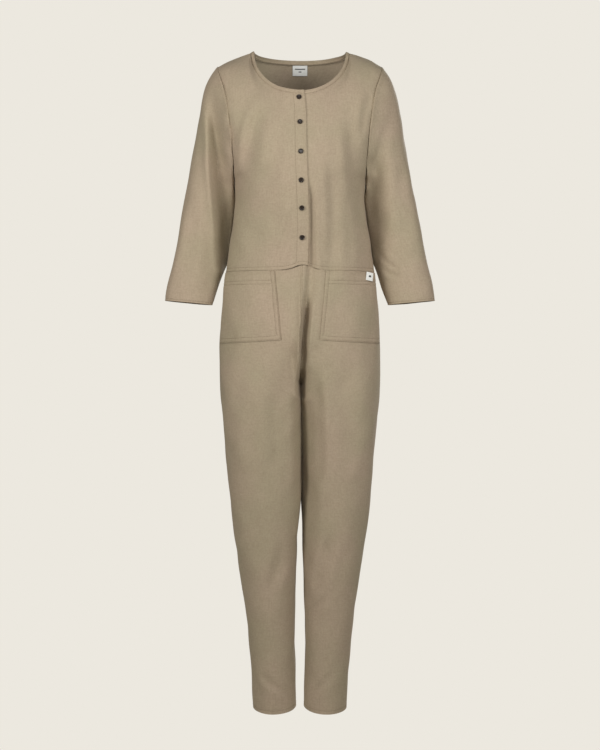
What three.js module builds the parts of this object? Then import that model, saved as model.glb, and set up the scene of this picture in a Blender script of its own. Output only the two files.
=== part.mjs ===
// Jumpsuit, button-front, with long sleeves and tapered legs, filled out as if worn, with
// nobody in it. Millimetres, +Z up, the front faces -Y, the wearer's right is at -X.
// The origin lies midway between the shoulders, at the height where they carry it.
// Every cloth piece is a wall round a hollow. A panel is a grid of points on its outer face:
// its rows run from the centre line out to the side, its columns from the top down, and
// neighbouring panels share the points of the seam between them.
import * as THREE from "three";

const V = (x, y, z) => new THREE.Vector3(x, y, z);
const { lerp, clamp, degToRad } = THREE.MathUtils;

// Cloth
const WALL = 1.6;
const SEAM_GAP = 0.3;
const LAYER_GAP = 0.4;
const PLACKET_RAISE = 2.8;

// Neck: its edge runs from the centre line up to the high point of the shoulder
const NECK = { halfWidth: 96, y: -2, top: 21, cells: 7, backCells: 6 };
const FRONT_NECK = { reach: 95, depth: 96, lean: 0.25 };
const BACK_NECK = { reach: 74, depth: 5, lean: 0.3 };
// The bodice leaves the neck edge outward at the shoulder, and down most at the centre line
const NECK_FALL = { out: 0.92, shoulderDown: 0.39, centreDown: 0.96 };
const BINDING = { width: 8, thickness: 2.2, gap: 0.9 };

// Shoulder seam and armhole; the armhole is an upright oval read at every 30 degrees
const SHOULDER = { tip: V(172, 8, -9), cells: 4, crown: 3 };
const ARMHOLE = { rows: 6, y: 8, front: 88, back: 80, mid: -132.5, half: 123.5 };
const ARMHOLE_FRONT_X = [172, 171, 157, 147, 141, 138, 137];
const ARMHOLE_BACK_X = [172, 168, 160, 153, 148, 142, 137];

// Bodice rows, and how far each turns round the side before the armhole or side seam stops it
const BODICE_ROWS = 12;
const WAIST_SIDE = -442;
const WAIST_RISE = { height: 11, x: 7, reach: 24, fade: 5 };
const WAIST_BACK = -437;
const ROW_TURN = [60, 60, 62, 66, 72, 82, 90].map(degToRad);
const FULLNESS = 0.85;

// The top edge's shape carries on down the rows, evened out over steps along the row
const TOP_EASE = { steps: [-2, -1, 0, 1, 2], step: 0.035, spread: 1.6, depth: 3 };

// Trouser rows: 0 waist, 4 pocket bottom, 8 crotch, 22 hem
const CROTCH_ROW = 8;
const HEM_ROW = 22;
const POCKET_ROW = 4;
const RISE_FRONT_Z = [-443, -473, -510, -546, -582, -616, -652, -681, -690];
const RISE_BACK_Z = [-437, -473, -509, -545, -580, -614, -650, -680, -690];
const OUTSEAM_Z = [-442, -480, -517, -554, -591, -619, -646, -673, -700];
const LEG_FILL = 0.5;
const LEG_SHARE = [0, 0, 0, 0, 0, 0, 0.17, 0.54, 1];
const HEM = { outer: -1353, inner: -1349, frontDip: 9, backLift: 6, fade: 6 };
const CROTCH_EASE = { below: 2, passes: 6 };

// Columns of the front half from centre to side; the third is the pocket's inner edge
const FRONT_COLUMNS = NECK.cells + SHOULDER.cells;
const BACK_COLUMNS = NECK.backCells + SHOULDER.cells;
const POCKET = { inner: 3, outer: 10, innerTop: 0.215, innerBottom: 0.145, drop: 0.05 };

// Smooth value along stations given from the top down as [height, value]
function profile(stations) {
  const slope = (i) => {
    const a = stations[Math.max(i - 1, 0)];
    const b = stations[Math.min(i + 1, stations.length - 1)];
    return (b[1] - a[1]) / (b[0] - a[0]);
  };
  return (z) => {
    let i = 0;
    while (i < stations.length - 2 && z < stations[i + 1][0]) i += 1;
    const [z0, v0] = stations[i];
    const [z1, v1] = stations[i + 1];
    const h = z1 - z0;
    const t = clamp((z - z0) / h, 0, 1);
    const t2 = t * t;
    const t3 = t2 * t;
    return (
      v0 * (2 * t3 - 3 * t2 + 1) +
      v1 * (3 * t2 - 2 * t3) +
      slope(i) * h * (t3 - 2 * t2 + t) +
      slope(i + 1) * h * (t3 - t2)
    );
  };
}

const smooth = (t) => t * t * (3 - 2 * t);

// Depth of the body at its centre line, and half width and depth of its side seams
const centreFront = profile([
  [-83, -99], [-130, -114], [-185, -129], [-230, -134], [-300, -127],
  [-360, -115], [-400, -109], [-440, -108], [-500, -113], [-560, -118], [-690, -116],
]);
const centreBack = profile([
  [8, 75], [-60, 101], [-120, 114], [-170, 118], [-230, 114], [-300, 103],
  [-360, 97], [-400, 96], [-440, 100], [-500, 116], [-560, 129], [-610, 132], [-690, 124],
]);
const sideX = profile([
  [-256, 137], [-285, 134.5], [-321, 139], [-353, 143.5], [-384, 149], [-412, 152],
  [-442, 155.5], [-500, 161.5], [-584, 167.5], [-650, 168.6], [-710, 166], [-794, 157.5],
  [-878, 151], [-962, 142.5], [-1046, 130], [-1130, 117.5], [-1214, 107], [-1298, 101],
  [-1353, 98],
]);
const sideY = profile([
  [-256, 8], [-442, 0], [-620, 4], [-800, 0], [-1000, -2], [-1200, 6], [-1353, 6],
]);

// Legs: inner seam, front and back
const innerRight = profile([
  [-690, 0], [-735, -2], [-860, -3], [-920, -2.4], [-962, 2], [-1046, 7.5],
  [-1130, 9.5], [-1214, 11], [-1298, 9.5], [-1353, 7.5],
]);
const innerLeft = profile([
  [-690, 0], [-735, 1.4], [-860, 1.9], [-920, 2.4], [-962, 3.6], [-1046, 6],
  [-1130, 8.5], [-1214, 9.7], [-1298, 9.5], [-1353, 8.5],
]);
const innerY = profile([
  [-690, 10], [-800, 8], [-1000, 2], [-1200, 8], [-1353, 8],
]);
// The right leg's inner seam lies this far in front, and the left leg's as far behind
const innerTurn = profile([
  [-690, 0], [-735, 20], [-900, 22], [-962, 18], [-1060, 0], [-1353, 0],
]);
const legFront = profile([
  [-660, -116], [-720, -109], [-800, -98], [-900, -85], [-1000, -74], [-1150, -58],
  [-1250, -49], [-1360, -43],
]);
const legBack = profile([
  [-660, 122], [-720, 112], [-800, 98], [-900, 84], [-1000, 75], [-1150, 70],
  [-1250, 62], [-1360, 52],
]);

const legFullness = profile([
  [-650, 0.55], [-720, 0.62], [-800, 0.75], [-900, FULLNESS], [-1353, FULLNESS],
]);

// Sleeve: the line over the shoulder down its outer side, and the underarm seam
const sleeveOuter = new THREE.CatmullRomCurve3([
  V(172, 8, -9), V(184, 8, -24), V(197, 8, -50), V(208, 8, -92), V(220, 7, -164),
  V(235, 5, -248), V(250, 2, -330), V(265, -4, -410), V(275, -9, -458), V(281, -13, -502),
]);
const sleeveInner = new THREE.CatmullRomCurve3([
  V(137, 8, -256), V(138.2, 20, -272), V(136, 37, -291), V(136, 43, -313),
  V(140.5, 43, -345), V(147, 40, -388), V(152, 30, -420), V(159, 19, -440),
  V(169, 4, -470), V(182.5, -12, -511),
]);
const SLEEVE_RINGS = 13;
const ARMHOLE_RINGS = 4;
const sleeveDepth = profile([
  [0, 84], [-0.15, 76], [-0.3, 66], [-0.45, 58], [-0.6, 51], [-0.8, 43], [-1, 37],
]);

// Placket: its free edge and the line of buttons
const placketEdge = profile([
  [-83, 8.5], [-110, 11.5], [-200, 13.5], [-260, 15.5], [-345, 17.8], [-432, 15.5],
]);
const UNDERLAP = -12;
const UNDERLAP_LIFT = 1.5;
const OVERLAP = { start: -46, reach: 18 };
const BUTTON = { radius: 5.25, height: 2.3, segments: 24, frontRadius: 220 };
const BUTTON_PLACES = [
  [-2, -91], [0, -144], [1.6, -205], [2.4, -262.5], [3.8, -318], [4.3, -377],
];

// Tape labels
const LABEL = { rows: [0.06, 0.6], reach: 0.6, thickness: 1 };
const TAB = {
  width: 19, height: 17, thickness: 1.2, tilt: 8, turn: 42, centre: [144.4, -57.4, -453.5],
};

const waistFront = (x) => {
  const away = (x - WAIST_RISE.x) / WAIST_RISE.reach;
  return WAIST_RISE.height * Math.exp(-away * away);
};

// Point of the neck edge; t is 0 on the centre line and 1 at the shoulder
function neckEdge(face, t, down) {
  const shape = face < 0 ? FRONT_NECK : BACK_NECK;
  const turn = (t * Math.PI) / 2;
  const s = Math.sin(turn);
  const c = Math.cos(turn);
  const fall = NECK_FALL.shoulderDown * s + NECK_FALL.centreDown * c;
  const away = V(NECK_FALL.out * s, face * shape.lean * c, -fall).normalize();
  const edge = V(NECK.halfWidth * s, NECK.y + face * shape.reach * c, NECK.top - shape.depth * c);
  return edge.addScaledVector(away, down);
}

// Top of a bodice half: neck edge, then shoulder seam; f runs 0 to 1 from the centre line
const neckShare = (face) => (face < 0 ? 0.6 : 0.56);
function bodiceTop(face, f) {
  const share = neckShare(face);
  if (f <= share) return neckEdge(face, f / share, BINDING.width);
  const t = (f - share) / (1 - share);
  const seam = neckEdge(face, 1, BINDING.width).lerp(SHOULDER.tip, t);
  seam.z += SHOULDER.crown * Math.sin(Math.PI * t);
  return seam;
}

// Armhole, then side seam: where each bodice row ends
function bodiceSide(face, i) {
  if (i <= ARMHOLE.rows) {
    const turn = (i * Math.PI) / ARMHOLE.rows;
    const x = (face < 0 ? ARMHOLE_FRONT_X : ARMHOLE_BACK_X)[i];
    const reach = face < 0 ? ARMHOLE.front : ARMHOLE.back;
    const z = ARMHOLE.mid + ARMHOLE.half * Math.cos(turn);
    return V(x, ARMHOLE.y + face * reach * Math.sin(turn), z);
  }
  const down = (i - ARMHOLE.rows) / (BODICE_ROWS - ARMHOLE.rows);
  const z = lerp(ARMHOLE.mid - ARMHOLE.half, WAIST_SIDE, down);
  return V(sideX(z), sideY(z), z);
}

// Part of an oval from the centre line to the row's end
function arc(centre, end, turn, f) {
  const phi = f * turn;
  const fall = (Math.cos(phi) - Math.cos(turn)) / (1 - Math.cos(turn));
  return V(
    (end.x * Math.sin(phi)) / Math.sin(turn),
    end.y + (centre.y - end.y) * Math.pow(Math.max(fall, 0), FULLNESS),
    lerp(centre.z, end.z, smooth(f)),
  );
}

function bodiceArc(face, i, f) {
  const top = neckEdge(face, 0, BINDING.width).z;
  const z = lerp(top, face < 0 ? WAIST_SIDE - 1 : WAIST_BACK, i / BODICE_ROWS);
  const centre = V(0, (face < 0 ? centreFront : centreBack)(z), z);
  return arc(centre, bodiceSide(face, i), ROW_TURN[Math.min(i, ARMHOLE.rows)], f);
}

// Outer face of the bodice; f below 0 is the other side of the centre line
function bodicePoint(face, i, f) {
  const across = Math.abs(f);
  const point = bodiceArc(face, i, across);
  const fade = Math.max(1 - i / (ARMHOLE.rows + 1), 0);
  const rest = V(0, 0, 0);
  for (const step of TOP_EASE.steps) {
    const near = clamp(across + step * TOP_EASE.step * i, 0, 1);
    rest.add(bodiceTop(face, near).sub(bodiceArc(face, 0, near)));
  }
  rest.divideScalar(TOP_EASE.steps.length);
  point.x += rest.x * Math.pow(fade, TOP_EASE.spread);
  point.y += rest.y * Math.pow(fade, TOP_EASE.depth);
  point.z += rest.z * Math.pow(fade, TOP_EASE.spread);
  point.x *= f < 0 ? -1 : 1;
  return point;
}

// Column fractions at the top (neck and shoulder) and at the waist and pocket
const topColumn = (face, j) => {
  const cells = face < 0 ? NECK.cells : NECK.backCells;
  const share = neckShare(face);
  if (j <= cells) return (share * j) / cells;
  return share + ((1 - share) * (j - cells)) / SHOULDER.cells;
};
const waistColumn = (face, j, inner) => {
  if (face > 0) return j / BACK_COLUMNS;
  if (j <= POCKET.inner) return (inner * j) / POCKET.inner;
  return inner + ((1 - inner) * (j - POCKET.inner)) / (FRONT_COLUMNS - POCKET.inner);
};

function bodiceRow(face, side, i) {
  const count = face < 0 ? FRONT_COLUMNS : BACK_COLUMNS;
  const down = i / BODICE_ROWS;
  const rise = Math.pow(down, WAIST_RISE.fade);
  const row = [];
  for (let j = 0; j <= count; j += 1) {
    const f = lerp(topColumn(face, j), waistColumn(face, j, POCKET.innerTop), smooth(down));
    const point = bodicePoint(face, i, f);
    point.x *= side;
    if (face < 0) point.z += rise * waistFront(point.x);
    row.push(point);
  }
  return row;
}

// A point of the front near the centre line, by its x
function frontAt(i, x) {
  const share = 0.02;
  const step = bodicePoint(-1, i, share).x;
  const point = bodicePoint(-1, i, (share * Math.abs(x)) / step);
  point.x = x;
  point.z += Math.pow(i / BODICE_ROWS, WAIST_RISE.fade) * waistFront(x);
  return point;
}

function frontBodice(side) {
  const rows = [];
  for (let i = 0; i <= BODICE_ROWS; i += 1) {
    const row = bodiceRow(-1, side, i);
    const edge = frontAt(i, side < 0 ? placketEdge(row[0].z) : UNDERLAP);
    if (side > 0 && i === BODICE_ROWS) edge.z += UNDERLAP_LIFT;
    rows.push([edge, ...row]);
  }
  return rows;
}

function backBodice() {
  const rows = [];
  for (let i = 0; i <= BODICE_ROWS; i += 1) {
    const right = bodiceRow(1, -1, i).reverse();
    rows.push([...right, ...bodiceRow(1, 1, i).slice(1)]);
  }
  return rows;
}

// One row of a trouser panel, from the rise or inner seam out to the side seam
function trouserRow(face, side, i) {
  const count = face < 0 ? FRONT_COLUMNS : BACK_COLUMNS;
  const down = clamp((i - CROTCH_ROW) / (HEM_ROW - CROTCH_ROW), 0, 1);
  const upper = i <= CROTCH_ROW;
  const centreZ = upper
    ? (face < 0 ? RISE_FRONT_Z : RISE_BACK_Z)[i]
    : lerp(RISE_FRONT_Z[CROTCH_ROW], HEM.inner, down);
  const outerZ = upper ? OUTSEAM_Z[i] : lerp(OUTSEAM_Z[CROTCH_ROW], HEM.outer, down);
  const share = upper ? LEG_SHARE[i] : 1;
  const inner = lerp(POCKET.innerTop, POCKET.innerBottom, Math.min(i / POCKET_ROW, 1));
  const level = clamp((i - POCKET_ROW) / (CROTCH_ROW - POCKET_ROW), 0, 1);
  const dip = Math.pow(down, HEM.fade) * (face < 0 ? -HEM.frontDip : HEM.backLift);
  const row = [];
  for (let j = 0; j <= count; j += 1) {
    const f = lerp(waistColumn(face, j, inner), j / count, smooth(level));
    const z = lerp(centreZ, outerZ, i < POCKET_ROW ? smooth(f) : 1 - Math.pow(1 - f, 3));
    const end = V(sideX(outerZ), sideY(outerZ), outerZ);
    const centre = V(0, (face < 0 ? centreFront : centreBack)(centreZ), centreZ);
    const point = arc(centre, end, Math.PI / 2, f);
    if (share > 0) {
      const near = (side < 0 ? innerRight : innerLeft)(centreZ);
      const turn = Math.PI * f;
      const nearY = innerY(centreZ) + side * innerTurn(centreZ);
      const seamY = lerp(nearY, end.y, smooth(f));
      const deep = (face < 0 ? legFront : legBack)(z);
      const swell = Math.pow(Math.max(Math.sin(turn), 0), legFullness(z));
      const x = lerp(near, end.x, (1 - Math.cos(turn)) / 2);
      point.lerp(V(x, lerp(seamY, deep, swell), z), share);
      point.y *= 1 + LEG_FILL * share * (1 - share) * swell * swell;
    }
    point.z = z + dip * Math.sin(Math.PI * f);
    point.x *= side;
    if (face < 0 && i < POCKET_ROW) {
      point.z += waistFront(point.x) * Math.pow(1 - i / POCKET_ROW, 2);
    }
    row.push(point);
  }
  return row;
}

// The rise turns under between the legs: the rows there are evened out down each column
function easeColumns(rows, first, last, passes) {
  for (let n = 0; n < passes; n += 1) {
    for (let i = first; i <= last; i += 1) {
      for (let j = 1; j < rows[i].length - 1; j += 1) {
        const beside = rows[i - 1][j].clone().add(rows[i + 1][j]).multiplyScalar(0.5);
        rows[i][j].lerp(beside, 0.5);
      }
    }
  }
}

function trouser(face, side) {
  const rows = [];
  for (let i = 0; i <= HEM_ROW; i += 1) rows.push(trouserRow(face, side, i));
  easeColumns(rows, POCKET_ROW + 1, CROTCH_ROW + CROTCH_EASE.below, CROTCH_EASE.passes);
  return rows;
}

// The sleeve starts on the armhole points and turns into ovals across its length
function sleeve(side) {
  const around = 2 * ARMHOLE.rows;
  const ring = (k, j) => {
    const t = k / SLEEVE_RINGS;
    const outer = sleeveOuter.getPointAt(t);
    const inner = sleeveInner.getPointAt(t);
    const turn = Math.PI * (1 - (2 * j) / around);
    const middle = outer.clone().add(inner).multiplyScalar(0.5);
    const half = outer.sub(inner).multiplyScalar(0.5);
    const point = middle.addScaledVector(half, Math.cos(turn));
    point.y -= sleeveDepth(-t) * Math.sin(turn);
    return point;
  };
  const seam = (j) => {
    const face = j <= ARMHOLE.rows ? -1 : 1;
    return bodiceSide(face, Math.abs(ARMHOLE.rows - j));
  };
  const rows = [];
  for (let k = 0; k <= SLEEVE_RINGS; k += 1) {
    const row = [];
    for (let j = 0; j <= around; j += 1) {
      const rest = seam(j).sub(ring(0, j));
      const fade = Math.pow(Math.max(1 - k / ARMHOLE_RINGS, 0), 2);
      const point = ring(k, j).addScaledVector(rest, fade);
      point.x *= side;
      row.push(point);
    }
    rows.push(row);
  }
  return rows;
}

// Binding of the neck edge, from the placket edge round the back to the underlap
function binding() {
  const rows = [];
  for (let r = 0; r <= 2; r += 1) {
    const down = (BINDING.width * r) / 2;
    const near = (x) => {
      const t = (Math.abs(x) / NECK.halfWidth) * (2 / Math.PI);
      const point = neckEdge(-1, t, down);
      point.x = x;
      return point;
    };
    const row = [near(placketEdge(NECK.top - FRONT_NECK.depth - BINDING.width))];
    const add = (face, side, j, cells) => {
      const point = neckEdge(face, j / cells, down);
      point.x *= side;
      row.push(point);
    };
    for (let j = 0; j <= NECK.cells; j += 1) add(-1, -1, j, NECK.cells);
    for (let j = NECK.backCells - 1; j >= 0; j -= 1) add(1, -1, j, NECK.backCells);
    for (let j = 1; j <= NECK.backCells; j += 1) add(1, 1, j, NECK.backCells);
    for (let j = NECK.cells - 1; j >= 0; j -= 1) add(-1, 1, j, NECK.cells);
    row.push(near(UNDERLAP));
    rows.push(row);
  }
  return rows;
}

// Outward normals of a grid, turned to agree with the direction given for its middle
function gridNormals(grid, outward) {
  const last = [grid.length - 1, grid[0].length - 1];
  const normals = grid.map((row, i) =>
    row.map((_, j) => {
      const up = grid[Math.max(i - 1, 0)][j];
      const down = grid[Math.min(i + 1, last[0])][j];
      const before = grid[i][Math.max(j - 1, 0)];
      const after = grid[i][Math.min(j + 1, last[1])];
      return down.clone().sub(up).cross(after.clone().sub(before)).normalize();
    }),
  );
  const middle = normals[Math.floor(last[0] / 2)][Math.floor(last[1] / 2)];
  const flip = middle.dot(outward) < 0;
  if (flip) normals.flat().forEach((normal) => normal.negate());
  return { normals, flip };
}

const onEdge = (grid, i, j) =>
  i === 0 || j === 0 || i === grid.length - 1 || j === grid[0].length - 1;
const placeKey = (p) => [p.x, p.y, p.z].map((v) => Math.round(v * 50)).join(" ");

// Direction from an edge point into its panel
function inward(grid, i, j) {
  const step = V(0, 0, 0);
  const point = grid[i][j];
  const toward = (a, b) => step.add(grid[a][b].clone().sub(point).normalize());
  if (i === 0) toward(1, j);
  if (i === grid.length - 1) toward(i - 1, j);
  if (j === 0) toward(i, 1);
  if (j === grid[0].length - 1) toward(i, j - 1);
  return step;
}

// Panels that share a seam share the average of their normals along it, unless they are
// nearly back to back there; in a valley each keeps half of its own
const LEAST_MEAN = 0.2;
const VALLEY = 0.05;
function seamNormals(panels) {
  const shared = new Map();
  for (const { grid, normals } of panels) {
    grid.forEach((row, i) =>
      row.forEach((point, j) => {
        if (!onEdge(grid, i, j)) return;
        const key = placeKey(point);
        const sum = shared.get(key) ?? V(0, 0, 0);
        shared.set(key, sum.add(normals[i][j]));
      }),
    );
  }
  return shared;
}

function meetNormal(panel, shared, i, j) {
  const own = panel.normals[i][j];
  if (!onEdge(panel.grid, i, j)) return own.clone();
  const mean = shared.get(placeKey(panel.grid[i][j])).clone();
  if (mean.length() < LEAST_MEAN) return own.clone();
  mean.normalize();
  const valley = mean.dot(inward(panel.grid, i, j)) > VALLEY;
  return valley ? mean.add(own).normalize() : mean;
}

// Closed wall between the outer face and the same face moved in
function wallGeometry(outer, inner, flip) {
  const rows = outer.length;
  const columns = outer[0].length;
  const positions = [...outer.flat(), ...inner.flat()].flatMap((p) => p.toArray());
  const at = (i, j) => i * columns + j;
  const under = rows * columns;
  const index = [];
  const triangle = (a, b, c) => index.push(...(flip ? [a, c, b] : [a, b, c]));
  for (let i = 0; i < rows - 1; i += 1) {
    for (let j = 0; j < columns - 1; j += 1) {
      const corners = [at(i, j), at(i + 1, j), at(i + 1, j + 1), at(i, j + 1)];
      const falling = outer[i][j].distanceTo(outer[i + 1][j + 1]);
      const rising = outer[i + 1][j].distanceTo(outer[i][j + 1]);
      const [a, b, c, d] = falling > rising ? corners : [...corners.slice(1), corners[0]];
      triangle(a, b, c);
      triangle(a, c, d);
      triangle(a + under, c + under, b + under);
      triangle(a + under, d + under, c + under);
    }
  }
  const rim = [];
  for (let i = 0; i < rows - 1; i += 1) rim.push(at(i, 0));
  for (let j = 0; j < columns - 1; j += 1) rim.push(at(rows - 1, j));
  for (let i = rows - 1; i > 0; i -= 1) rim.push(at(i, columns - 1));
  for (let j = columns - 1; j > 0; j -= 1) rim.push(at(0, j));
  rim.forEach((a, n) => {
    const b = rim[(n + 1) % rim.length];
    triangle(b, a, a + under);
    triangle(b, a + under, b + under);
  });
  const geometry = new THREE.BufferGeometry();
  geometry.setAttribute("position", new THREE.Float32BufferAttribute(positions, 3));
  geometry.setIndex(index);
  geometry.computeVertexNormals();
  return geometry;
}

// Outer points drawn back from the seams, and the matching inner ones
function wallFaces(panel, shared) {
  const { grid, thickness } = panel;
  const face = (depth) =>
    grid.map((row, i) =>
      row.map((point, j) => {
        const normal = meetNormal(panel, shared, i, j);
        const back = inward(grid, i, j).multiplyScalar(panel.gap / 2);
        const rise = panel.lift?.(point, j) ?? 0;
        return point.clone().add(back).addScaledVector(normal, rise - depth);
      }),
    );
  return [face(0), face(thickness)];
}

function addMesh(group, name, geometry, material) {
  const mesh = new THREE.Mesh(geometry, new THREE.MeshStandardMaterial(material));
  mesh.name = name;
  group.add(mesh);
}

const TWILL = { color: "#a39478", roughness: 0.92, metalness: 0 };
const TAPE = { color: "#e6e6de", roughness: 0.8, metalness: 0 };
const STUD = { color: "#2f261c", roughness: 0.3, metalness: 0.1 };

// The overlap of the right front, and its binding, lie over the left front
const overlapLift = (point) => {
  if (point.y > 0) return 0;
  return PLACKET_RAISE * smooth(clamp((point.x - OVERLAP.start) / OVERLAP.reach, 0, 1));
};

const front = V(0, -1, 0);
const back = V(0, 1, 0);
const sheets = [
  { name: "front_bodice_right", grid: frontBodice(-1), outward: front, lift: overlapLift },
  { name: "front_bodice_left", grid: frontBodice(1), outward: front },
  { name: "back_bodice", grid: backBodice(), outward: back },
  { name: "sleeve_right", grid: sleeve(-1), outward: V(-1, 0, 0) },
  { name: "sleeve_left", grid: sleeve(1), outward: V(1, 0, 0) },
  { name: "front_trouser_right", grid: trouser(-1, -1), outward: front },
  { name: "front_trouser_left", grid: trouser(-1, 1), outward: front },
  { name: "back_trouser_right", grid: trouser(1, -1), outward: back },
  { name: "back_trouser_left", grid: trouser(1, 1), outward: back },
  {
    name: "neck_binding",
    grid: binding(),
    outward: back,
    thickness: BINDING.thickness,
    gap: BINDING.gap,
    lift: (point, j) => (j <= NECK.cells ? overlapLift(point) : 0),
  },
];
for (const sheet of sheets) {
  sheet.thickness ??= WALL;
  sheet.gap ??= SEAM_GAP;
  Object.assign(sheet, gridNormals(sheet.grid, sheet.outward));
}
const shared = seamNormals(sheets);

const jumpsuit = new THREE.Group();
jumpsuit.name = "jumpsuit";
const faces = {};
for (const sheet of sheets) {
  const [outer, inner] = wallFaces(sheet, shared);
  faces[sheet.name] = { ...sheet, outer, inner };
  addMesh(jumpsuit, sheet.name, wallGeometry(outer, inner, sheet.flip), TWILL);
}

// Point and normal of a panel at a fraction of a row and of a column
function sample(panel, i, j) {
  const i0 = Math.min(Math.floor(i), panel.grid.length - 2);
  const j0 = Math.min(Math.floor(j), panel.grid[0].length - 2);
  const between = (table) => {
    const top = table[i0][j0].clone().lerp(table[i0][j0 + 1], j - j0);
    const bottom = table[i0 + 1][j0].clone().lerp(table[i0 + 1][j0 + 1], j - j0);
    return top.lerp(bottom, i - i0);
  };
  return { point: between(panel.outer), normal: between(panel.normals).normalize() };
}

// A layer on a panel, between two distances out from its outer face
function addLayer(name, panel, rows, columns, low, high, material) {
  const face = (out) =>
    rows.map((i) =>
      columns.map((j) => {
        const { point, normal } = sample(panel, i, j);
        return point.addScaledVector(normal, out);
      }),
    );
  addMesh(jumpsuit, name, wallGeometry(face(high), face(low), panel.flip), material);
}

const span = (first, last) => Array.from({ length: last - first + 1 }, (_, n) => first + n);
for (const side of ["right", "left"]) {
  const rows = [POCKET.drop, ...span(1, POCKET_ROW)];
  const columns = span(POCKET.inner, POCKET.outer);
  const panel = faces[`front_trouser_${side}`];
  addLayer(`pocket_${side}`, panel, rows, columns, LAYER_GAP, LAYER_GAP + WALL, TWILL);
}

// Neck label, inside the back just under the binding
const middle = BACK_COLUMNS;
const labelColumns = [middle - LABEL.reach, middle, middle + LABEL.reach];
const labelOut = -WALL - LAYER_GAP - LABEL.thickness;
addLayer(
  "neck_label",
  faces.back_bodice,
  LABEL.rows,
  labelColumns,
  labelOut,
  labelOut + LABEL.thickness,
  TAPE,
);

// Tab of woven tape at the outer top corner of the left pocket, standing a little off it
const tab = new THREE.BoxGeometry(TAB.width, TAB.thickness, TAB.height);
tab.rotateY(degToRad(TAB.tilt));
tab.rotateZ(degToRad(TAB.turn));
tab.translate(...TAB.centre);
addMesh(jumpsuit, "pocket_tab", tab, TAPE);

// Buttons: a low dish with a rounded rim, set square to the placket
BUTTON_PLACES.forEach(([x, z], n) => {
  const { radius, height } = BUTTON;
  const outline = [
    [0, 0], [radius - 0.4, 0], [radius, 0.5], [radius, height - 0.9], [radius - 0.5, height],
    [radius - 1.2, height], [radius - 1.9, height - 0.5], [0, height - 0.3],
  ].map(([r, h]) => new THREE.Vector2(r, h));
  const button = new THREE.LatheGeometry(outline, BUTTON.segments);
  const slope = (centreFront(z + 5) - centreFront(z - 5)) / 10;
  const face = V(x / BUTTON.frontRadius, -1, slope).normalize();
  button.applyQuaternion(new THREE.Quaternion().setFromUnitVectors(V(0, 1, 0), face));
  const seat = V(x, centreFront(z), z).addScaledVector(face, PLACKET_RAISE + LAYER_GAP);
  button.translate(seat.x, seat.y, seat.z);
  addMesh(jumpsuit, `button_${n + 1}`, button, STUD);
});

export default jumpsuit;
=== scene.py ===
"""Jumpsuit in cotton twill, filled out as if worn. Each CAD wall is read back as a grid of
points, drawn as a smooth thin cloth with folds, hems and seams, and sewn with stitches."""

import math
from collections import namedtuple

import bmesh
import bpy
import numpy as np
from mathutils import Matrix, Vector, kdtree


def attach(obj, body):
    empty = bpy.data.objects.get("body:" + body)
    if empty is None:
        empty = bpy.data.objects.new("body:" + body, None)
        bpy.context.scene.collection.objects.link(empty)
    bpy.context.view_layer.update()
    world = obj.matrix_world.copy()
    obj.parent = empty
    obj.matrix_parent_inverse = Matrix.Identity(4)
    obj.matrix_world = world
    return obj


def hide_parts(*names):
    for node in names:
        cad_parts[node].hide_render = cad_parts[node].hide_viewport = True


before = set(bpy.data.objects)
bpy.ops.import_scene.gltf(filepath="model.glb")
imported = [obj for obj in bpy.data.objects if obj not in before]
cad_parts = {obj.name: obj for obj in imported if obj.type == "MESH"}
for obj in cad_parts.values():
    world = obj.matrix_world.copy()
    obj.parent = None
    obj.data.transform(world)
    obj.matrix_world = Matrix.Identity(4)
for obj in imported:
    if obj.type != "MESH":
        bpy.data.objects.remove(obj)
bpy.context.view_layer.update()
MM = 0.001
TINY = 1e-12  # the least length that is divided by

# ---- Reading a cloth wall back as a grid of points -------------------------------------

WELD = 0.01 * MM
RIM_EDGE = 2.6 * MM  # thicker than every wall, and shorter than every side of a cell
KINK_COSINE = math.cos(math.radians(50))
BORDER_LINES = (0.03, 0.08, 0.13, 0.2, 0.28)  # extra lines beside a border, in cells


def outer_layer(name):
    """The outer face of a node's wall as a bmesh of four-sided faces."""
    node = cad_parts[name]
    mesh = bmesh.new()
    mesh.from_mesh(node.data)
    mesh.transform(node.matrix_world)
    bmesh.ops.remove_doubles(mesh, verts=mesh.verts, dist=WELD)
    rim = [f for f in mesh.faces if min(e.calc_length() for e in f.edges) < RIM_EDGE]
    bmesh.ops.delete(mesh, geom=rim, context="FACES")
    layers, left = [], set(mesh.faces)
    while left:
        layer, queue = [], [left.pop()]
        while queue:
            face = queue.pop()
            layer.append(face)
            near = {f for e in face.edges for f in e.link_faces} & left
            left -= near
            queue.extend(near)
        layers.append(layer)
    layers.sort(key=lambda faces: sum(f.calc_area() for f in faces))
    inner = [f for faces in layers[:-1] for f in faces]
    bmesh.ops.delete(mesh, geom=inner, context="FACES")
    limits = {"angle_face_threshold": math.pi, "angle_shape_threshold": math.pi}
    bmesh.ops.join_triangles(mesh, faces=mesh.faces, **limits)
    return mesh


def border_from(corner):
    """The vertices along the border from one corner of the grid to the next."""
    side = [corner, corner.link_edges[0].other_vert(corner)]
    while len(side[-1].link_edges) > 2:
        ahead = [e.other_vert(side[-1]) for e in side[-1].link_edges if e.is_boundary]
        side.append(next(v for v in ahead if v is not side[-2]))
    return side


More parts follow.
